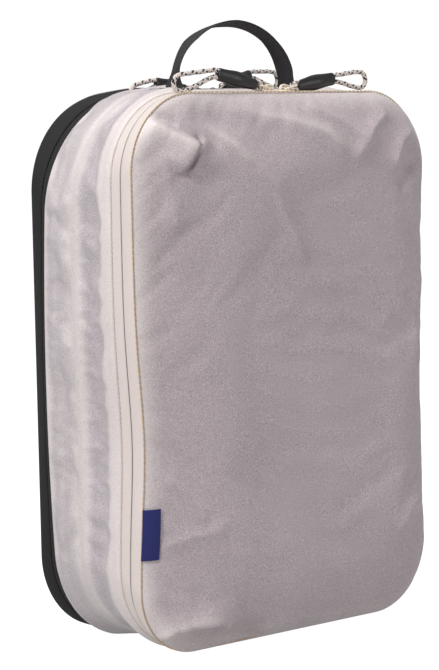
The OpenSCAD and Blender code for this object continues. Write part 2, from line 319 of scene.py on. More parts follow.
def ripstop(nodes, place):
    """1 on the lines of a square grid of thicker threads, and 0 between them."""
    split = nodes.add("ShaderNodeSeparateXYZ", {0: place})
    lines = []
    for axis in ("X", "Z"):
        wave = nodes.math("SINE", nodes.math("MULTIPLY", split.outputs[axis], 2 * math.pi / RIPSTOP_PITCH))
        lines.append(nodes.ramp(wave, 0.97, 1.0))
    return nodes.math("MAXIMUM", lines[0], lines[1])


def nylon(name, hollow):
    """Coated nylon: dark over the hollow case, light over a second layer, with painted light and painted
    crease shade.
    """
    nodes = Nodes(name, 0.5, 0.25)
    place = nodes.place()
    grain = nodes.noise(1900, 0, place)
    cloud = nodes.noise(15, 4, place)
    # lighter where a second layer lies behind, and where painted light and painted highlights are stored
    layered_and_painted_light = nodes.mix(nodes.attribute("lining_and_painted_light"), hollow, LINED_AND_PAINTED_LIGHT)
    ripstop_and_painted_light = nodes.mix(nodes.math("MULTIPLY", ripstop(nodes, place), RIPSTOP_SHARE), layered_and_painted_light, LINED_AND_PAINTED_LIGHT)
    cloudy = nodes.ramp(cloud, 0.32, 0.68, 1.03, 0.93)
    grain_depth = nodes.ramp(nodes.attribute("lining_and_painted_light"), 0.0, 1.0, 1.0, 0.4)
    grainy = nodes.math("MULTIPLY", nodes.ramp(grain, 0.34, 0.66, 0.22, -0.22), grain_depth)
    # painted shade: the colour is darkened along the front panel's crease
    painted_crease_shade = nodes.ramp(nodes.attribute("painted_crease_shade"), 0.0, 1.0, 1.0, CREASE_SHADE)
    cloud_and_painted_shade = nodes.math("MULTIPLY", cloudy, painted_crease_shade)
    nodes.shade(nodes.scaled(ripstop_and_painted_light, nodes.math("MULTIPLY", cloud_and_painted_shade, nodes.math("ADD", 1.0, grainy))))
    nodes.bump(grain, 0.3 * MM, 0.7)
    return nodes.material


def scaled_colour(colour, share):
    """A colour with its red, green and blue scaled."""
    return [share * part for part in colour[:3]] + [1.0]


def woven(name, colour, rib=0.9 * MM, depth=0.12 * MM, roughness=0.75, sheen=0.2, dark=0.75):
    """Woven tape: ribs across its depth and finer ones along its run."""
    nodes = Nodes(name, roughness, sheen)
    across = nodes.math("SINE", nodes.math("MULTIPLY", nodes.attribute("across"), 2 * math.pi / rib))
    along = nodes.math("SINE", nodes.math("MULTIPLY", nodes.attribute("run"), 2 * math.pi / (rib * 0.8)))
    weave = nodes.math("MULTIPLY", across, along)
    shade = nodes.ramp(weave, -1.0, 1.0)
    nodes.shade(nodes.mix(shade, scaled_colour(colour, dark), colour))
    nodes.bump(shade, depth, 0.7)
    return nodes.material


def plain(name, colour, roughness, grain=900, depth=0.03 * MM, sheen=0.0):
    """Moulded, painted or spun finish with a fine grain."""
    nodes = Nodes(name, roughness, sheen)
    noise = nodes.noise(grain, 2)
    nodes.shade(nodes.mix(nodes.ramp(noise, 0.3, 0.7), colour, scaled_colour(colour, 0.9)))
    nodes.shade(nodes.ramp(noise, 0.3, 0.7, roughness - 0.05, roughness + 0.08), "Roughness")
    nodes.bump(noise, depth, 0.5)
    return nodes.material


CREAM = srgb(226, 214, 209)
LINED_AND_PAINTED_LIGHT = srgb(222, 212, 210)
BLACK = srgb(27, 26, 28)

panel_nylon = nylon("panel_nylon", srgb(180, 167, 171))
band_nylon = nylon("band_nylon", srgb(183, 174, 178))
lining_nylon = nylon("lining_nylon", srgb(183, 173, 176))
cream_tape = woven("cream_tape", CREAM, dark=0.86)
black_tape = woven("black_tape", BLACK, dark=0.6, sheen=0.02, roughness=0.85)
# painted shade: the webbing's hollows between its ribs are painted far darker, leaving its ribs as lighter
# streaks
webbing = woven("black_webbing", srgb(50, 48, 52), rib=2.2 * MM, depth=0.3 * MM, dark=0.22, sheen=0.03)
# painted shade: the coil is painted darker and browner than the cream tape, for the shaded slot between the
# tapes
cream_coil = plain("cream_coil", srgb(168, 148, 134), 0.45)
black_coil = plain("black_coil", srgb(30, 29, 32), 0.4)
cream_paint = plain("cream_paint", srgb(232, 219, 200), 0.38)
black_paint = plain("black_paint", srgb(34, 33, 36), 0.35)
gold_thread = plain("gold_thread", srgb(205, 178, 142), 0.6)
cream_thread = plain("cream_thread", srgb(206, 188, 170), 0.7)
black_thread = plain("black_thread", srgb(24, 23, 26), 0.7)
rubber = plain("black_rubber", srgb(26, 25, 27), 0.38, depth=0.08 * MM, grain=500)
blue_weave = woven("blue_weave", srgb(23, 30, 104), rib=0.7 * MM, dark=0.7, sheen=0.05)
cord_light = plain("cord_light", srgb(216, 206, 200), 0.8, sheen=0.2)
cord_dark = plain("cord_dark", srgb(40, 38, 40), 0.8, sheen=0.2)

# ---- cloth

REST = 0.4 * MM                    # height of the cloth that lies flat on the floor
CLOTH_FRAMES = 24
CLOTH = {"quality": 8, "mass": 0.25, "air_damping": 4.0, "tension_stiffness": 12.0,
         "compression_stiffness": 12.0, "shear_stiffness": 6.0, "bending_stiffness": 0.4}


def simulate(piece, pinned, pressure, growth):
    """Lets a pinned sheet of cloth settle under pressure, a little larger than the shape it is sewn into."""
    group = piece.vertex_groups.new(name="pinned")
    group.add([int(i) for i in pinned], 1.0, "REPLACE")
    modifier = add_modifier(piece, "CLOTH")
    settings = modifier.settings
    for key, value in CLOTH.items():
        setattr(settings, key, value)
    settings.effector_weights.gravity = 0.0
    settings.use_pressure = True
    settings.uniform_pressure_force = pressure
    settings.shrink_min = -growth
    settings.vertex_group_mass = "pinned"
    modifier.point_cache.frame_start = 1
    modifier.point_cache.frame_end = CLOTH_FRAMES
    scene = bpy.context.scene
    for number in range(1, CLOTH_FRAMES + 1):
        scene.frame_set(number)
    evaluated = piece.evaluated_get(bpy.context.evaluated_depsgraph_get())
    settled = np.zeros(len(piece.data.vertices) * 3)
    evaluated.data.vertices.foreach_get("co", settled)
    piece.modifiers.remove(modifier)
    piece.vertex_groups.clear()
    piece.data.vertices.foreach_set("co", settled)
    piece.data.update()
    scene.frame_set(1)


def keep_off_floor(piece):
    """Flattens the lowest places of a piece onto the floor."""
    for vertex in piece.data.vertices:
        vertex.co.z = max(vertex.co.z, REST)


def rounded_square(u, v, y):
    """Maps the square -1..1 onto the case's outline. Outer rings follow it, and inner ones are squarer."""
    ring = np.maximum(np.abs(u), np.abs(v))
    safe = np.maximum(ring, 1e-9)
    radius = corner_radius(np.sign(u), np.sign(v), y) - TAPE_INSET
    bend = radius * ring ** 3
    a, b = (HALF_W - TAPE_INSET) * ring, (TOP / 2 - TAPE_INSET) * ring
    on_side = np.abs(u) >= np.abs(v)
    along = np.where(on_side, v, u) / safe
    straight = np.where(on_side, b, a) - bend
    travel = np.abs(along) * (straight + bend * math.pi / 4)
    turn = np.clip((travel - straight) / np.maximum(bend, 1e-9), 0, math.pi / 4)
    near = np.minimum(travel, straight) + bend * np.sin(turn)
    far = np.where(on_side, a, b) - bend + bend * np.cos(turn)
    x = np.where(on_side, np.sign(u) * far, np.sign(u) * near)
    z = np.where(on_side, np.sign(v) * near, np.sign(v) * far) + TOP / 2
    return x * width_scale(x, y, z), z


def rim_distance(x, z, y):
    """Distance from a point inside the outline to its rim."""
    radius = corner_radius(np.sign(x), np.sign(z - TOP / 2), y) - TAPE_INSET
    qx = np.abs(x) / width_scale(x, y, z) - (HALF_W - TAPE_INSET - radius)
    qz = np.abs(z - TOP / 2) - (TOP / 2 - TAPE_INSET - radius)
    outside = np.hypot(np.maximum(qx, 0), np.maximum(qz, 0)) + np.minimum(np.maximum(qx, qz), 0)
    return radius - outside


def fold_height(x, z, line, left, right, height):
    """Height of a ridge along a line of places, with its own half width on each side, fading at both ends."""
    line = np.array(line, float) * MM
    legs = np.linalg.norm(np.diff(line, axis=0), axis=1)
    before = np.concatenate([[0], np.cumsum(legs)])
    nearest = np.full(x.shape, 1e9)
    share, width = np.zeros(x.shape), np.ones(x.shape)
    for leg, length in enumerate(legs):
        way = (line[leg + 1] - line[leg]) / length
        from_start = x - line[leg, 0], z - line[leg, 1]
        along = np.clip(from_start[0] * way[0] + from_start[1] * way[1], 0, length)
        away = np.hypot(from_start[0] - way[0] * along, from_start[1] - way[1] * along)
        closer = away < nearest
        turn = way[0] * from_start[1] - way[1] * from_start[0]
        nearest = np.where(closer, away, nearest)
        width = np.where(closer, np.where(turn > 0, left, right), width)
        share = np.where(closer, (before[leg] + along) / before[-1], share)
    ends = np.clip(np.minimum(share, 1 - share) * 5, 0, 1)
    return height * MM * ends * ends * (3 - 2 * ends) * np.exp(-((nearest / (width * MM)) ** 1.3))


NYLON_T = 0.6 * MM
PANEL_STEP = 3.0 * MM
PANEL_BULGE = 10 * MM
PANEL_MARGIN = 56 * MM
PANEL_PRESSURE = 1.6
FRONT_GROWTH, BACK_GROWTH = 0.007, 0.012      # how much larger the cloth is than the shape it is sewn into
OVERHANG = 2.2 * MM                # how far the panels stand out past their right and lower seams
# each fold: places along it (x, z from the middle of the panel), half width to its left and right, height
FRONT_FOLDS = [
    ([(-84, 147), (-88, 140), (-93, 132), (-99, 124)], 1.6, 12, 7.2),
    ([(-77, 149), (-81, 141), (-86, 132), (-92, 123)], 3.2, 2.0, 4.4),
    ([(-125, 163), (-107, 153), (-89, 142), (-80, 137)], 2.4, 9, 4.4),
    ([(-114, 165), (-104, 160), (-93, 156)], 4, 4, -2.2),
    ([(-80, 156), (-66, 149), (-52, 138), (-25, 113), (6, 62)], 6, 4.5, 3.4),
    ([(-110, 140), (-104, 118), (-100, 86)], 8, 8, 2.6),
    ([(-66, 164), (-30, 160), (0, 155), (28, 147), (50, 128)], 7, 9, 3.0),
    ([(88, 164), (68, 150), (46, 128)], 5, 6, 3.6),
    ([(112, 150), (96, 142), (84, 122)], 5, 6, 3.2),
    ([(118, 128), (104, 124), (92, 108)], 5, 5, -2.8),
    ([(10, 166), (40, 155), (66, 138)], 6, 5, 3.0),
    ([(120, 60), (106, 30), (110, -20)], 7, 7, 2.2),
    ([(118, -96), (100, -104), (84, -122)], 5, 7, 2.6),
    ([(-124, -164), (-108, -158), (-92, -155), (-74, -156), (-56, -162)], 9, 3, 7.0),
    ([(-98, -165), (-64, -168), (-30, -172)], 6, 5, -2.6),
    ([(-40, -170), (0, -166), (40, -170)], 6, 4, 2.2),
    ([(-118, -106), (-95, -100), (-66, -97)], 4, 6, 1.8),
    ([(-112, -60), (-96, -72), (-80, -92)], 6, 6, 1.6),
]
BACK_FOLDS = [
    ([(118, 150), (96, 142), (70, 122)], 6, 6, 3.4),
    ([(-116, 146), (-90, 138), (-66, 112)], 6, 5, 3.0),
    ([(-112, -150), (-88, -140), (-60, -120)], 6, 6, 3.0),
    ([(110, -150), (90, -136), (72, -108)], 6, 6, 2.8),
    ([(-40, 164), (0, 158), (44, 163)], 6, 6, 2.2),
]


def bake_modifiers(piece):
    """Replaces the piece's mesh with what its modifiers make of it."""
    evaluated = piece.evaluated_get(bpy.context.evaluated_depsgraph_get())
    mesh = bpy.data.meshes.new_from_object(evaluated)
    piece.modifiers.clear()
    piece.data = mesh


# painted highlights along the front panel's fold ridges, given like the folds, with a share for a height
PAINTED_HIGHLIGHT_LINES = [([(-128, 163), (-108, 153), (-89, 141), (-82, 137)], 1.4, 6, 0.75),
               ([(-122, -161), (-104, -157), (-92, -154), (-74, -155)], 5, 3.5, 0.38),
               ([(-74, 154), (-60, 145), (-44, 130)], 4, 3, 0.32),
               ([(-40, 161), (-6, 158), (24, 150), (44, 136)], 5, 3.5, 0.38)]
# the front panel's crease that lies in its own shadow, given the same way; that shadow is painted into the
# colour
PAINTED_SHADE_LINES = [([(-81, 152), (-85, 144), (-90, 135), (-97, 123)], 2.8, 3.2, 1.0)]
PANEL_SURFACE = {FRONT: (FRONT_FOLDS, PAINTED_HIGHLIGHT_LINES, PAINTED_SHADE_LINES), BACK: (BACK_FOLDS, [], [])}


LINING_EDGE, LINING_FADE = 1 * MM, 13 * MM     # where the seam allowance starts to fade, and over how far


def seam_lining_and_painted_light(x, z, rim, painted_highlight_lines):
    """How much of the seam allowance shows through a panel; painted light makes it most on the left, least on
    the right.
    """
    beside = np.clip((np.abs(x) / HALF_W - 0.6) / 0.4, 0, 1)
    above = np.clip((np.abs(z - TOP / 2) / (TOP / 2) - 0.75) / 0.25, 0, 1)
    # painted light: the share by side follows the light, strongest on the left and top, weakest on the right
    weight = beside * np.where(x < 0, 1.0, 0.15) + above * np.where(z > TOP / 2, 0.75, 0.4)
    near = 1 - np.clip((rim - LINING_EDGE) / LINING_FADE, 0, 1)
    # painted highlights along the fold ridges
    painted_ridge_highlights = sum(fold_height(x, z - TOP / 2, *line) for line in painted_highlight_lines) / MM
    return np.clip(near ** 1.3 * weight / np.maximum(beside + above, 1) + painted_ridge_highlights, 0, 1)


def panel(word, side, body, growth):
    """A soft panel of the front or the back: bulged, settled as cloth, then given its folds."""
    columns = 2 * round(HALF_W / PANEL_STEP) + 1
    rows = 2 * round(TOP / 2 / PANEL_STEP) + 1
    u, v = np.meshgrid(np.linspace(-1, 1, columns), np.linspace(-1, 1, rows))
    u, v = u.ravel(), v.ravel()
    x, z = rounded_square(u, v, side * SEAM)
    rim = rim_distance(x, z, side * SEAM)
    z = z + seam_rise(x, side * SEAM, z) * np.clip(1 - rim / PANEL_MARGIN, 0, 1)
    share = np.clip(rim / PANEL_MARGIN, 0, 1)
    to_right = np.clip(x / HALF_W, -1, 1)
    steepness = 4.5 + np.where(to_right > 0, 4.5, 2.5) * to_right    # the right side fills out sooner
    depth = SEAM + PANEL_BULGE * (1 - (1 - share) ** steepness)
    downwards = np.clip(1 - z / (TOP / 2), 0, 1)
    over_seam = OVERHANG * np.sin(math.pi * np.clip(rim / (12 * MM), 0, 1))
    x = x + over_seam * np.clip(to_right, 0, 1) ** 4
    z = z - 1.5 * over_seam * downwards ** 4
    points = np.stack([x, side * depth, z], axis=-1)
    piece = make_piece(f"{word}_panel_cloth", points, grid_faces(rows, columns, flip=side > 0), panel_nylon)
    simulate(piece, np.flatnonzero(np.maximum(np.abs(u), np.abs(v)) > 0.999), PANEL_PRESSURE, growth)
    set_attribute(piece, "rim", rim)
    add_modifier(piece, "SUBSURF", levels=1, render_levels=1)
    bake_modifiers(piece)
    raise_folds(piece, *PANEL_SURFACE[side])
    add_modifier(piece, "SOLIDIFY", thickness=NYLON_T, offset=-1.0)
    return finish_piece(piece, body, "shell_nylon", f"{word}_panel")


def flatten_with_lid(piece):
    """Gives a piece of the lid its own copy of its mesh."""
    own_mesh(piece)


def raise_folds(piece, folds, painted_highlight_lines, painted_shade_lines):
    """Moves a panel's points along their normals by its folds' height; marks its painted highlights and
    crease shade.
    """
    count = len(piece.data.vertices)
    points, normals, rim = np.zeros(count * 3), np.zeros(count * 3), np.zeros(count)
    piece.data.vertices.foreach_get("co", points)
    piece.data.vertices.foreach_get("normal", normals)
    piece.data.attributes["rim"].data.foreach_get("value", rim)
    points, normals = points.reshape(-1, 3), normals.reshape(-1, 3)
    height = sum(fold_height(points[:, 0], points[:, 2] - TOP / 2, *shape) for shape in folds)
    height *= np.clip(rim / (6 * MM), 0, 1)
    set_attribute(piece, "lining_and_painted_light", seam_lining_and_painted_light(points[:, 0], points[:, 2], rim, painted_highlight_lines))
    # painted shade along the front panel's crease
    painted_shades = [fold_height(points[:, 0], points[:, 2] - TOP / 2, *line) / MM for line in painted_shade_lines]
    set_attribute(piece, "painted_crease_shade", sum(painted_shades, np.zeros(count)))
    points += normals * height[:, None]
    piece.data.vertices.foreach_set("co", points.ravel())
    keep_off_floor(piece)
    piece.data.update()


# by depth in millimetres: how much of a second layer shows through the side band, and how far it stands out
BAND_LAYERS = [(-33, 1.0), (-24, 1.0), (-21, 0.15), (-8, 0.0), (-5, 0.3), (-2, 0.85), (2, 0.7), (7, 0.65),
               (11, 0.3), (18, 0.15), (22, 0.3), (28, 0.15), (31, 0.2), (33, 0.9), (37, 1.0)]
BAND_PROFILE = [(-33, -1.4), (-31, 0.2), (-24, 0.6), (-20, -0.6), (-9, -1.0), (-4, 0.6), (0, 2.0), (4, 1.8),
                (9, 0.4), (16, 0.8), (24, 0.9), (31, 0.2), (35, -0.4), (37, -1.4)]
STAY_MIDDLE, STAY_HALF = 2 * MM, 3 * MM
FRONT_HEM_WIDTH, BACK_HEM_WIDTH = 9 * MM, 5 * MM
BAND_INSET = 0.8 * MM
BAND_PRESSURE, BAND_GROWTH = 1.0, 0.035


def side_sheet():
    """The nylon of the side band, with its doubled hems and the stay tape's ridge."""
    columns, rows = 29, 400
    run = np.arange(rows) * GIRTH / rows
    y = np.linspace(FRONT_HEM, BACK_HEM, columns)
    run_grid, y_grid = np.repeat(run, columns), np.tile(y, rows)
    rise = np.interp(y_grid / MM, *zip(*BAND_PROFILE)) * MM
    corner = np.abs(np.sin(2 * facing(run_grid))) ** 0.7
    below = np.maximum(-np.sin(facing(run_grid)), 0)
    sunk = 2.2 * MM + 2 * MM * below
    hollow = corner * sunk + 3.8 * MM * below ** 2
    from_tapes = np.minimum(y_grid - FRONT_HEM, BACK_HEM - y_grid) - 6 * MM
    rise -= hollow * np.clip(from_tapes / (12 * MM), 0, 1) ** 0.8
    piece = make_piece("side_band_cloth", on_case(run_grid, y_grid, BAND_INSET - rise),
                       grid_faces(rows, columns, rows_close=True, flip=True), band_nylon)
    stay = np.abs(y_grid - STAY_MIDDLE) < STAY_HALF
    hem = (y_grid < FRONT_HEM + FRONT_HEM_WIDTH) | (y_grid > BACK_HEM - BACK_HEM_WIDTH)
    simulate(piece, np.flatnonzero(stay | hem), BAND_PRESSURE, BAND_GROWTH)
    keep_off_floor(piece)
    set_attribute(piece, "lining_and_painted_light", np.interp(y_grid / MM, *zip(*BAND_LAYERS)))
    add_modifier(piece, "SUBSURF", levels=1, render_levels=1)
    add_modifier(piece, "SOLIDIFY", thickness=NYLON_T, offset=-1.0)
    return finish_piece(piece, "shell", "shell_nylon", "side_band", "band_stay_tape")


flatten_with_lid(panel("front", FRONT, "lid", FRONT_GROWTH))
panel("back", BACK, "back", BACK_GROWTH)
side_sheet()

# ---- zips

UNDER_HEM = 6 * MM                 # how far a tape reaches in under the side band's hem


def tape_pair(side, word, panel_body, material, slot):
    """The two tapes of a zip, one sewn to the panel and one to the side band. Gives the panel's tape."""
    section = strip_section(side * (ZIP + SLOT), side * SEAM, TAPE_INSET, TAPE_T, crown=0.5 * MM)
    panel_tape = band(f"{word}_woven_panel", section, material)
    finish_piece(panel_tape, panel_body, slot, f"{word}_tape_{panel_body}")
    hem = FRONT_HEM if side == FRONT else BACK_HEM
    section = strip_section(hem - side * UNDER_HEM, side * (ZIP - SLOT), TAPE_INSET, TAPE_T, crown=0.3 * MM)
    finish_piece(band(f"{word}_woven_shell", section, material), "shell", slot, f"{word}_tape_shell")
    return panel_tape


flatten_with_lid(tape_pair(FRONT, "main_zip", "lid", cream_tape, "cream_tape"))
tape_pair(BACK, "compression_zip", "back", black_tape, "black_tape")

TOOTH_PITCH = 1.6 * MM
TOOTH_WIRE = 0.36 * MM


def tube_rings(path, normal, binormal, radius, sides):
    """Points of a round tube along a path with a known frame."""
    angle = np.arange(sides)[:, None] * 2 * math.pi / sides
    offset = normal[..., None, :] * np.cos(angle) + binormal[..., None, :] * np.sin(angle)
    return path[..., None, :] + offset * radius


def row_of_tubes(name, rings, material):
    """One piece from many short closed tubes, given as tube, ring, side and place."""
    count, rows, sides = rings.shape[:3]
    size = rows * sides
    quads = grid_faces(rows, sides, columns_close=True)
    faces = list((quads[None] + (np.arange(count) * size)[:, None, None]).reshape(-1, 4))
    for first in range(0, count * size, size):
        faces.append(list(range(first, first + sides))[::-1])
        faces.append(list(range(first + size - sides, first + size)))
    piece = make_piece(name, rings.reshape(-1, 3), faces, material)
    fix_normals(piece)
    return piece


def coil(word, side, body, material, slot, gap_half=0.0):
    """Half a coil of zip teeth: one loop of wire a tooth, its nose at the zip's centre."""
    count = int(GIRTH / TOOTH_PITCH)
    on_shell = body == "shell"
    run = (np.arange(count) + (0.0 if on_shell else 0.5)) * GIRTH / count
    inward = -side if on_shell else side
    if gap_half:
        run = run[(run > gap_half) & (run < GIRTH - gap_half)]
    nose, tail, thick = -0.35 * MM, 2.9 * MM, 0.75 * MM
    shape = np.array([(tail, -thick), (1.0 * MM, -thick), (nose, -0.5 * thick), (nose - 0.3 * MM, 0.0),
                      (nose, 0.5 * thick), (1.0 * MM, thick), (tail, thick)])
    y = side * ZIP + inward * shape[:, 0]
    inset = TAPE_INSET + TAPE_T + thick + TOOTH_WIRE + shape[:, 1]
    run_grid = np.repeat(run[:, None], len(shape), axis=1) + np.linspace(-0.2, 0.2, len(shape)) * TOOTH_PITCH
    path = on_case(run_grid, np.tile(y, (len(run), 1)), np.tile(inset, (len(run), 1)))
    step = np.gradient(path, axis=1)
    step /= np.linalg.norm(step, axis=-1, keepdims=True)
    angle = facing(run_grid)
    tangent = np.stack([-np.sin(angle), 0 * angle, np.cos(angle)], axis=-1)
    binormal = np.cross(step, tangent)
    rings = tube_rings(path, tangent, binormal, TOOTH_WIRE, 5)
    piece = row_of_tubes(f"{word}_coil_{body}", rings, material)
    finish_piece(piece, body, slot, f"{word}_zip_coil_{body}")


HINGE_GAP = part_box("hinge_strip")[1].x + 4 * MM
for body in ("lid", "shell"):
    coil("main", FRONT, body, cream_coil, "cream_coil", HINGE_GAP)
for body in ("back", "shell"):
    coil("compression", BACK, body, black_coil, "black_coil")


def stitches(name, body, slot, material, y, inset, pitch, length, radius):
    """A row of short thread stitches round the case; inset is a function of the run."""
    count = int(GIRTH / pitch)
    middle = (np.arange(count) + 0.5) * GIRTH / count
    profile = np.array([(-0.5, 0.25), (-0.35, 0.85), (0.0, 1.0), (0.35, 0.85), (0.5, 0.25)])
    run_grid = middle[:, None] + profile[None, :, 0] * length
    path = on_case(run_grid, np.full(run_grid.shape, y), inset(run_grid))
    angle = facing(run_grid)
    normal = np.stack([np.cos(angle), 0 * angle, np.sin(angle)], axis=-1)
    binormal = np.zeros_like(normal)
    binormal[..., 1] = 1.0
    rings = tube_rings(path, normal, binormal, radius * profile[None, :, 1, None, None], 6)
    return finish_piece(row_of_tubes(name, rings, material), body, slot)


def hem_inset(run):
    """The hems' stitches lie just proud of the tapes."""
    return np.full(run.shape, TAPE_INSET - 0.2 * MM)


def piping_inset(run):
    """The piping stands proud on the left and the top, and is tucked in on the right and under the base."""
    angle = facing(run)
    tucked = np.clip(np.maximum(np.cos(angle), 0) ** 2 + np.maximum(-np.sin(angle), 0) ** 8, 0, 1)
    return TAPE_INSET - 0.5 * MM + 1.7 * MM * tucked


HEM_STITCH = (3 * MM, 2.1 * MM, 0.28 * MM)          # pitch, length and radius
PIPING_STITCH = (3.2 * MM, 3.15 * MM, 0.42 * MM)
FROM_HEM = 0.6 * MM
stitches("hem_stitches_front", "shell", "cream_tape", cream_thread, FRONT_HEM - FROM_HEM,
         hem_inset, *HEM_STITCH)
stitches("hem_stitches_back", "shell", "black_tape", black_thread, BACK_HEM + FROM_HEM,
         hem_inset, *HEM_STITCH)
piping = stitches("front_piping_thread", "lid", "piping_thread", gold_thread, -SEAM - 0.4 * MM,
                  piping_inset, *PIPING_STITCH)
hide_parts("front_piping")
flatten_with_lid(piping)


def binding(word, side, body, material, slot):
    """Folded tape that covers the raw edges inside a seam."""
    half_width, half_height = 2.4 * MM, 0.8 * MM
    clearance = 0.2 * MM
    middle = (SEAM - half_width - clearance, TAPE_INSET + TAPE_T + half_height + clearance)
    angle = np.linspace(0, 2 * math.pi, 12, endpoint=False)
    section = np.stack([side * (middle[0] + half_width * np.cos(angle)),
                        middle[1] + half_height * np.sin(angle)], axis=-1)
    piece = band(f"{word}_seam_binding_tape", section, material)
    return finish_piece(piece, body, slot, f"{word}_seam_binding")


flatten_with_lid(binding("front", FRONT, "lid", cream_tape, "cream_tape"))
binding("back", BACK, "back", black_tape, "black_tape")

# ---- expansion gusset


def gusset():
    """Nylon folded in behind the compression zip."""
    low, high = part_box("expansion_gusset")
    outer = TAPE_INSET + TAPE_T + 0.3 * MM
    shoulder = outer + 4.4 * MM
    centre, half = (low.y + high.y) / 2, (high.y - low.y) / 2
    front_half = [(-half, outer), (-half + 0.4 * MM, shoulder), (-0.6 * half, shoulder + 2 * MM),
                  (-0.2 * half, shoulder + 6 * MM)]
    sheet = front_half + [(0, shoulder + 9 * MM)] + [(-y, inset) for y, inset in reversed(front_half)]
    outer_line = [(centre + y, inset) for y, inset in sheet]
    inner_line = [(centre + y * 0.94, inset + 0.5 * MM) for y, inset in reversed(sheet)]
    piece = band("expansion_gusset_cloth", outer_line + inner_line, lining_nylon)
    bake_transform(piece)
    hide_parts("expansion_gusset")


gusset()


def hinge_cloth():
    """Fabric that joins the front panel to the shell along the base, behind the zip tapes."""
    low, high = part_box("hinge_strip")
    half = high.x
    section = strip_section(low.y, high.y, TAPE_INSET + TAPE_T + 0.1 * MM, 0.5 * MM)
    piece = band("hinge_cloth", section, lining_nylon, steps=40, span=(-half, half))
    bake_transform(piece)
    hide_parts("hinge_strip")


hinge_cloth()

# ---- handle

WEBBING_HALF_T = 0.8 * MM
HANDLE_TWIST = [(-1, -28), (-0.9, -24), (-0.7, -11), (0, -10), (0.7, 7), (1, 4)]   # degrees, along the span


def handle():
    """Webbing arch with flat sewn ends; just above them it narrows a little and takes up its twist."""
    low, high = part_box("handle_loop")
    tab_low, tab_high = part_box("handle_anchor_right")
    middle = (low.x + high.x) / 2
    half_span = (high.x - low.x) / 2 - WEBBING_HALF_T
    base = TOP + 1.0 * MM
    rise = high.z - base - WEBBING_HALF_T
    width = tab_high.y - tab_low.y
    foot_end = tab_high.x - middle - 1 * MM
    theta = np.linspace(0, math.pi, 121)
    arch_x = -half_span * np.cos(theta)
    arch_z = base + rise * np.sin(theta) ** 0.9
    foot = np.linspace(foot_end, half_span + 2 * MM, 10)
    x = np.concatenate([-foot, arch_x, foot[::-1]])
    z = np.concatenate([np.full(len(foot), base), arch_z, np.full(len(foot), base)])
    path = np.stack([x, 0 * x, z], axis=-1)
    for _ in range(3):
        path[1:-1] = (path[:-2] + 2 * path[1:-1] + path[2:]) / 4
    lift = np.clip((path[:, 2] - base) / (14 * MM), 0, 1)
    lift = lift * lift * (3 - 2 * lift)
    twist = np.radians(np.interp(path[:, 0] / half_span, *zip(*HANDLE_TWIST))) * lift
    narrow = 1 - 0.12 * lift * (1 - lift) * 4
    tangent = np.gradient(path, axis=0)
    tangent /= np.linalg.norm(tangent, axis=1, keepdims=True)
    flat = np.stack([-tangent[:, 2], 0 * x, tangent[:, 0]], axis=-1)
    wide = np.zeros_like(flat)
    wide[:, 1] = 1.0
    across = wide * np.cos(twist)[:, None] + flat * np.sin(twist)[:, None]
    normal = flat * np.cos(twist)[:, None] - wide * np.sin(twist)[:, None]
    share = np.linspace(-0.5, 0.5, 22)
    rib = 0.12 * MM * np.cos(share * 2 * math.pi * 9)
    half_t = 0.75 * MM * (1 - (2 * np.abs(share)) ** 8 * 0.7)
    section = np.concatenate([np.stack([share * width, half_t + rib], axis=-1),
                              np.stack([share[::-1] * width, -(half_t + rib)[::-1]], axis=-1)])
    path[:, 0] += middle
    points = (path[:, None] + across[:, None] * (section[None, :, 0] * narrow[:, None])[..., None]
              + normal[:, None] * section[None, :, 1, None])
    rows, count = points.shape[:2]
    length = np.concatenate([[0], np.cumsum(np.linalg.norm(np.diff(path, axis=0), axis=1))])
    piece = make_piece("handle_webbing", points.reshape(-1, 3), tube_faces(rows, count), webbing)
    set_attribute(piece, "run", np.repeat(length, count))
    set_attribute(piece, "across", np.tile(section[:, 0], rows))
    fix_normals(piece)
    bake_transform(piece)
    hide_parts("handle_loop", "handle_anchor_left", "handle_anchor_right")


handle()

# ---- sliders and pulls

PIVOT_HEIGHT = 2.6 * MM   # of a pull's hinge above the tape


def slider_mesh():
    """A zip slider at the origin: X away from the meeting place, Z up from the tape."""
    plate = [(-6.0, 2.2), (-5.0, 3.9), (-3.2, 4.5), (0.5, 4.1), (3.5, 3.3), (5.4, 3.0), (6.0, 2.2)]
    rim = plate + [(x, -y) for x, y in reversed(plate)]
    post = [(-6, -0.4), (-3, -0.4), (-3, 0.4), (-6, 0.4)]
    arch = [(-4.0, 1.3), (-3.8, 3.4), (-2.6, 5.0), (0.0, 5.6), (2.6, 5.0), (3.8, 3.4), (4.0, 1.3),
            (2.7, 1.3), (2.6, 3.2), (1.7, 4.2), (0.0, 4.5), (-1.7, 4.2), (-2.6, 3.2), (-2.7, 1.3)]
    all_points, all_faces = [], []

    def add_prism(points, cap):
        """Adds a solid between two copies of an outline. A cap is its faces on the first copy."""
        start, count = len(all_points), len(points) // 2
        sides = [(i, (i + 1) % count, count + (i + 1) % count, count + i) for i in range(count)]
        caps = [face[::-1] for face in cap] + [[count + i for i in face] for face in cap]
        all_points.extend(points)
        all_faces.extend([start + i for i in face] for face in sides + caps)

    for outline, low, high in ((rim, 0.3, 1.5), (rim, -4.9, -3.8), (post, -3.9, 0.4)):
        add_prism([(x, y, z) for z in (low, high) for x, y in outline], [list(range(len(outline)))])
    last = len(arch) - 1
    strips = [[i, i + 1, last - 1 - i, last - i] for i in range(last // 2)]
    add_prism([(x, y, z) for y in (-1.0, 1.0) for x, z in arch], strips)
    return np.array(all_points) * MM, all_faces


def seat(points, side, end, x):
    """Moves points from a slider's own frame onto the top run of a zip."""
    placed = np.array(points, float)
    placed[:, 0] = x + end * placed[:, 0]
    placed[:, 1] = side * (ZIP - placed[:, 1])
    placed[:, 2] += TOP - TAPE_INSET
    return placed


CORD_R = 1.5 * MM
CORD_TURNS = 18


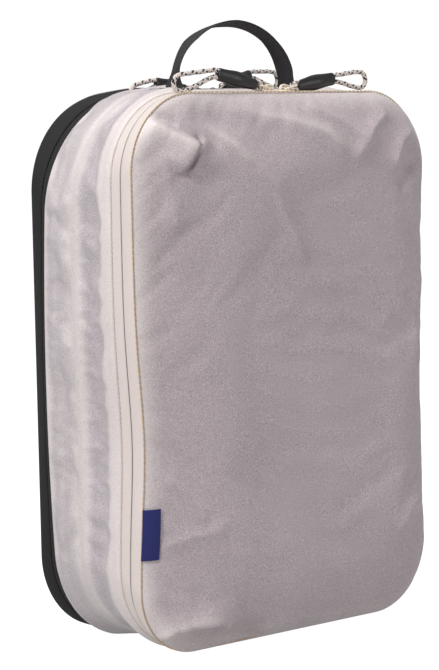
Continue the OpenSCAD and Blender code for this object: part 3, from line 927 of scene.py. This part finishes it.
def round_cord(path, name):
    """A braided cord along a closed path: eight strands, two of them dark, over a core."""
    step = np.roll(path, -1, axis=0) - np.roll(path, 1, axis=0)
    step /= np.linalg.norm(step, axis=1, keepdims=True)
    binormal = np.tile([0.0, 1.0, 0.0], (len(path), 1))
    normal = np.cross(binormal, step)
    gaps = np.linalg.norm(np.roll(path, -1, axis=0) - path, axis=1)
    share = np.concatenate([[0], np.cumsum(gaps)[:-1]]) / gaps.sum()
    light, dark = [], []
    middle, swell, strand_r = CORD_R * 0.68, CORD_R * 0.12, CORD_R * 0.33
    turned = 2 * math.pi * CORD_TURNS * share
    for turn_way, first_angle in ((1, 0), (-1, math.pi / 4)):
        for index in range(4):
            angle = turn_way * turned + index * math.pi / 2 + first_angle
            away = middle + turn_way * swell * np.sin(4 * turned)
            out = normal * np.cos(angle)[:, None] + binormal * np.sin(angle)[:, None]
            line = path + out * away[:, None]
            way = np.roll(line, -1, axis=0) - np.roll(line, 1, axis=0)
            way /= np.linalg.norm(way, axis=1, keepdims=True)
            rings = tube_rings(line, out, np.cross(way, out) * 1.35, strand_r, 6)
            strands = dark if index == 0 else light
            strands.append((rings.reshape(-1, 3), grid_faces(len(line), 6, True, True)))
    core = tube_rings(path, normal, binormal, CORD_R * 0.6, 10)
    light.append((core.reshape(-1, 3), grid_faces(len(path), 10, True, True)))
    points, faces = join_parts(light + dark)
    piece = make_piece(name, points, faces, cord_light)
    piece.data.materials.append(cord_dark)
    slots = np.zeros(len(faces), np.int32)
    slots[sum(len(part_faces) for _, part_faces in light):] = 1
    piece.data.polygons.foreach_set("material_index", slots)
    fix_normals(piece)
    return piece


def resample(points, spacing):
    """The same closed line at an even spacing."""
    closed = np.vstack([points, points[:1]])
    length = np.concatenate([[0], np.cumsum(np.linalg.norm(np.diff(closed, axis=0), axis=1))])
    count = int(length[-1] / spacing)
    places = np.arange(count) * length[-1] / count
    return np.stack([np.interp(places, length, closed[:, k]) for k in range(closed.shape[1])], axis=-1)


RING_L = 9.2 * MM
GRIP_START = RING_L + 2 * MM
GRIP_L = 34 * MM
STRAND = 0.6 * MM + CORD_R + 0.05 * MM


def pull_line(loop_half, loop_length, droop):
    """Centre line of a pull's cord: round the ring, through the grip and out to an open teardrop."""
    end = GRIP_START + GRIP_L
    round_ring = np.linspace(math.pi / 2, 1.5 * math.pi, 16)
    hook = [(RING_L + STRAND * math.cos(t), STRAND * math.sin(t)) for t in round_ring]
    share = np.linspace(0, 1, 40)
    half = STRAND + (loop_half - STRAND) * np.sin(share * math.pi / 2) ** 2
    x = end + (loop_length - loop_half) * share
    low = [(a, -b) for a, b in zip(x, half)]
    turn = np.linspace(-math.pi / 2, math.pi / 2, 18)[1:-1]
    cap = [(x[-1] + loop_half * math.cos(t), loop_half * math.sin(t)) for t in turn]
    high = [(a, b) for a, b in reversed(list(zip(x, half)))]
    line = np.array(hook + low + cap + high)
    past = np.maximum(line[:, 0] - end, 0)
    bend = droop * (1 - np.exp(-past / (6 * MM)))
    offset = line[:, 1].copy()
    line[:, 0] += past * (np.cos(bend) - 1) + offset * np.sin(bend)
    line[:, 1] = offset * np.cos(bend) - past * np.sin(bend)
    return resample(line, 0.5 * MM)


def grip_mesh(bulge_seed):
    """Rubber sleeve shrunk over the two strands of the cord, fat at the ring's end."""
    share = np.array([0, 0.02, 0.1, 0.22, 0.34, 0.46, 0.58, 0.7, 0.82, 0.92, 0.98, 1.0])
    tall = np.array([2.7, 3.4, 3.6, 4.0, 4.7, 5.2, 5.1, 4.6, 4.3, 4.3, 4.2, 3.6]) * MM
    deep = np.array([2.2, 2.6, 2.8, 3.2, 3.9, 4.5, 4.6, 4.0, 3.2, 2.9, 2.8, 2.3]) * MM
    sides = 28
    angle = np.arange(sides) * 2 * math.pi / sides
    lumps = 1 + 0.02 * np.sin(3 * angle[None] + 9 * share[:, None] + bulge_seed)
    points = np.stack([np.repeat((GRIP_START + GRIP_L * share)[:, None], sides, axis=1),
                       deep[:, None] * np.sin(angle) * lumps, tall[:, None] * np.cos(angle) * lumps], axis=-1)
    return points.reshape(-1, 3), tube_faces(len(share), sides)


# for each pull: how far it lies above the zip, its loop's length, how far the loop hangs down and how far it
# swivels towards the panel; angles in degrees
PULL_POSES = {"main_left": (12, 37 * MM, 23, 0), "main_right": (8, 30 * MM, 10, 0),
              "compression_left": (7, 28 * MM, 24, -13), "compression_right": (15, 34 * MM, 20, 14)}


def pull(side, end, word, slider_x):
    """Cord and grip of one slider's pull, swung to their resting angle."""
    where = "left" if end == LEFT else "right"
    rise, loop_length, droop, swivel = PULL_POSES[f"{word}_{where}"]
    angle, swivel = math.radians(rise), math.radians(-swivel)
    turn = np.array([[math.cos(angle), 0, -math.sin(angle)],
                     [0, 1, 0],
                     [math.sin(angle), 0, math.cos(angle)]])

    def place(points):
        swung = np.array(points, float)
        past = np.maximum(swung[:, 0] - RING_L, 0)
        swung[:, 0] -= past * (1 - math.cos(swivel))
        swung[:, 1] += past * math.sin(swivel)
        swung = swung @ turn.T
        swung[:, 2] += PIVOT_HEIGHT
        return seat(swung, side, end, slider_x)

    body = f"{word}_pull_{where}"
    line = pull_line(5.2 * MM, loop_length, math.radians(droop))
    path = place(np.stack([line[:, 0], 0 * line[:, 0], line[:, 1]], axis=-1))
    piece = round_cord(path, f"{word}_cord_braid_{where}")
    finish_piece(piece, body, "cord", f"{word}_cord_{where}")
    points, faces = grip_mesh(side + 2 * end)
    piece = make_piece(f"{word}_grip_rubber_{where}", place(points), faces, rubber)
    fix_normals(piece)
    add_modifier(piece, "SUBSURF", levels=1, render_levels=1)
    finish_piece(piece, body, "black_rubber", f"{word}_grip_{where}")


for side, word, paint, slot in ((FRONT, "main", cream_paint, "cream_paint"),
                                (BACK, "compression", black_paint, "black_paint")):
    for end, where in ((LEFT, "left"), (RIGHT, "right")):
        low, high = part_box(f"{word}_slider_{where}")
        centre_x = (low.x + high.x) / 2
        points, faces = slider_mesh()
        piece = make_piece(f"{word}_slider_metal_{where}", seat(points, side, end, centre_x), faces, paint)
        fix_normals(piece)
        add_modifier(piece, "BEVEL", width=0.35 * MM, segments=3, limit_method="ANGLE")
        finish_piece(piece, f"{word}_slider_{where}", slot, f"{word}_slider_{where}")
        paint_node(f"{word}_ring_{where}", paint)
        pull(side, end, word, centre_x)

# ---- tag and end stops


def side_tag():
    """Folded woven tag caught in the front seam, left plain."""
    low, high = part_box("side_tag")
    columns, rows = 14, 24
    share = np.linspace(0, 1, columns)
    up = np.linspace(0, 1, rows)
    foot, head = low.z + 3.4 * MM, high.z + 0.8 * MM   # the cloth is a little shorter than its CAD solid
    z = foot + (head - foot) * up
    side_ends = TOP / 2 + (TOP / 2 - BASE_RADII[0]) * np.array([-1, 1])
    root = on_case(np.interp(z, side_ends, [KNOTS[7], KNOTS[6]]), -SEAM - 0.2 * MM, TAPE_INSET - 1 * MM)
    reach = high.x - low.x - 1 * MM
    x = root[:, None, 0] + reach * share[None]
    lift = 0.4 * MM + reach * 0.38 * share + 1.0 * MM * np.sin(share * math.pi)
    y = root[:, None, 1] - lift[None] - 0.6 * MM * np.sin(up * math.pi)[:, None]
    points = np.stack([x, y, np.repeat(z[:, None], columns, axis=1)], axis=-1)
    piece = make_piece("side_tag_woven", points.reshape(-1, 3), grid_faces(rows, columns), blue_weave)
    set_attribute(piece, "run", np.repeat(z, columns))
    set_attribute(piece, "across", np.tile(share * reach, rows))
    add_modifier(piece, "SOLIDIFY", thickness=0.8 * MM, offset=0.0)
    add_modifier(piece, "BEVEL", width=0.2 * MM, segments=2)
    flatten_with_lid(finish_piece(piece, "lid", "blue_tag", "side_tag"))


side_tag()
paint_node("zip_end_stops", cream_paint)

# ---- floor, light and camera

# name, place, power and width of each light
LIGHTS = (("key", (-2.0, -0.5, 1.3), 30, 0.6),
          ("top", (-0.3, -0.1, 2.2), 22, 0.6),
          ("fill", (1.1, -2.1, 0.7), 10, 1.2))
LIT_PLACE = Vector((0, 0, 0.2))
# the camera: its direction from the case, its tilt, how far it stands off and how far it is shifted
AZIMUTH, ELEVATION, ROLL = math.radians(-41.75), math.radians(4.94), math.radians(-1.2)
DISTANCE = 1553 * MM
SHIFT_RIGHT, SHIFT_UP = -10.3 * MM, 16.3 * MM
LENS = 126


def camera_only(tree, seen_value, other_value):
    """A value that differs between what the camera sees and what lights the case."""
    seen = tree.nodes.new("ShaderNodeLightPath").outputs["Is Camera Ray"]
    choice = tree.nodes.new("ShaderNodeMapRange")
    choice.inputs["To Min"].default_value = other_value
    choice.inputs["To Max"].default_value = seen_value
    tree.links.new(seen, choice.inputs["Value"])
    return choice.outputs["Result"]


def studio():
    """White floor and background, a soft light at the left and one above, and a weak one at the front."""
    white = Nodes("studio_white", 0.9)
    white.shade((0.3, 0.3, 0.3, 1))
    white.shade((1, 1, 1, 1), "Emission Color")
    white.shade(camera_only(white.tree, 0.97, 0.27), "Emission Strength")
    size = 30.0
    corners = [(-size, -size, 0), (size, -size, 0), (size, size, 0), (-size, size, 0)]
    make_piece("floor", corners, [(0, 1, 2, 3)], white.material)
    world = bpy.data.worlds.new("studio")
    bpy.context.scene.world = world
    world.use_nodes = True
    background = world.node_tree.nodes["Background"]
    background.inputs["Color"].default_value = (1, 1, 1, 1)
    strength = camera_only(world.node_tree, 1.05, 0.34)
    world.node_tree.links.new(strength, background.inputs["Strength"])
    for name, place, energy, width in LIGHTS:
        light = bpy.data.lights.new(name, "AREA")
        light.energy = energy
        light.size = width
        lamp = bpy.data.objects.new(name, light)
        lamp.location = place
        lamp.rotation_euler = (LIT_PLACE - Vector(place)).to_track_quat("-Z", "Y").to_euler()
        bpy.context.scene.collection.objects.link(lamp)


def camera():
    """A long lens that looks at the case's left edge from a little above its middle."""
    right = Vector((math.cos(AZIMUTH), math.sin(AZIMUTH), 0))
    back = Vector((math.sin(AZIMUTH) * math.cos(ELEVATION), -math.cos(AZIMUTH) * math.cos(ELEVATION),
                   math.sin(ELEVATION)))
    up = back.cross(right)
    place = Vector((0, -3 * MM, TOP / 2)) + right * SHIFT_RIGHT + up * SHIFT_UP + back * DISTANCE
    across = right * math.cos(ROLL) + up * math.sin(ROLL)
    above = up * math.cos(ROLL) - right * math.sin(ROLL)
    data = bpy.data.cameras.new("camera")
    data.sensor_width = 36
    data.lens = LENS
    eye = bpy.data.objects.new("camera", data)
    eye.matrix_world = Matrix((across, above, back)).transposed().to_4x4()
    eye.location = place
    bpy.context.scene.collection.objects.link(eye)
    bpy.context.scene.camera = eye


studio()
camera()
bpy.context.scene.view_settings.view_transform = "Standard"

bpy.context.view_layer.update()
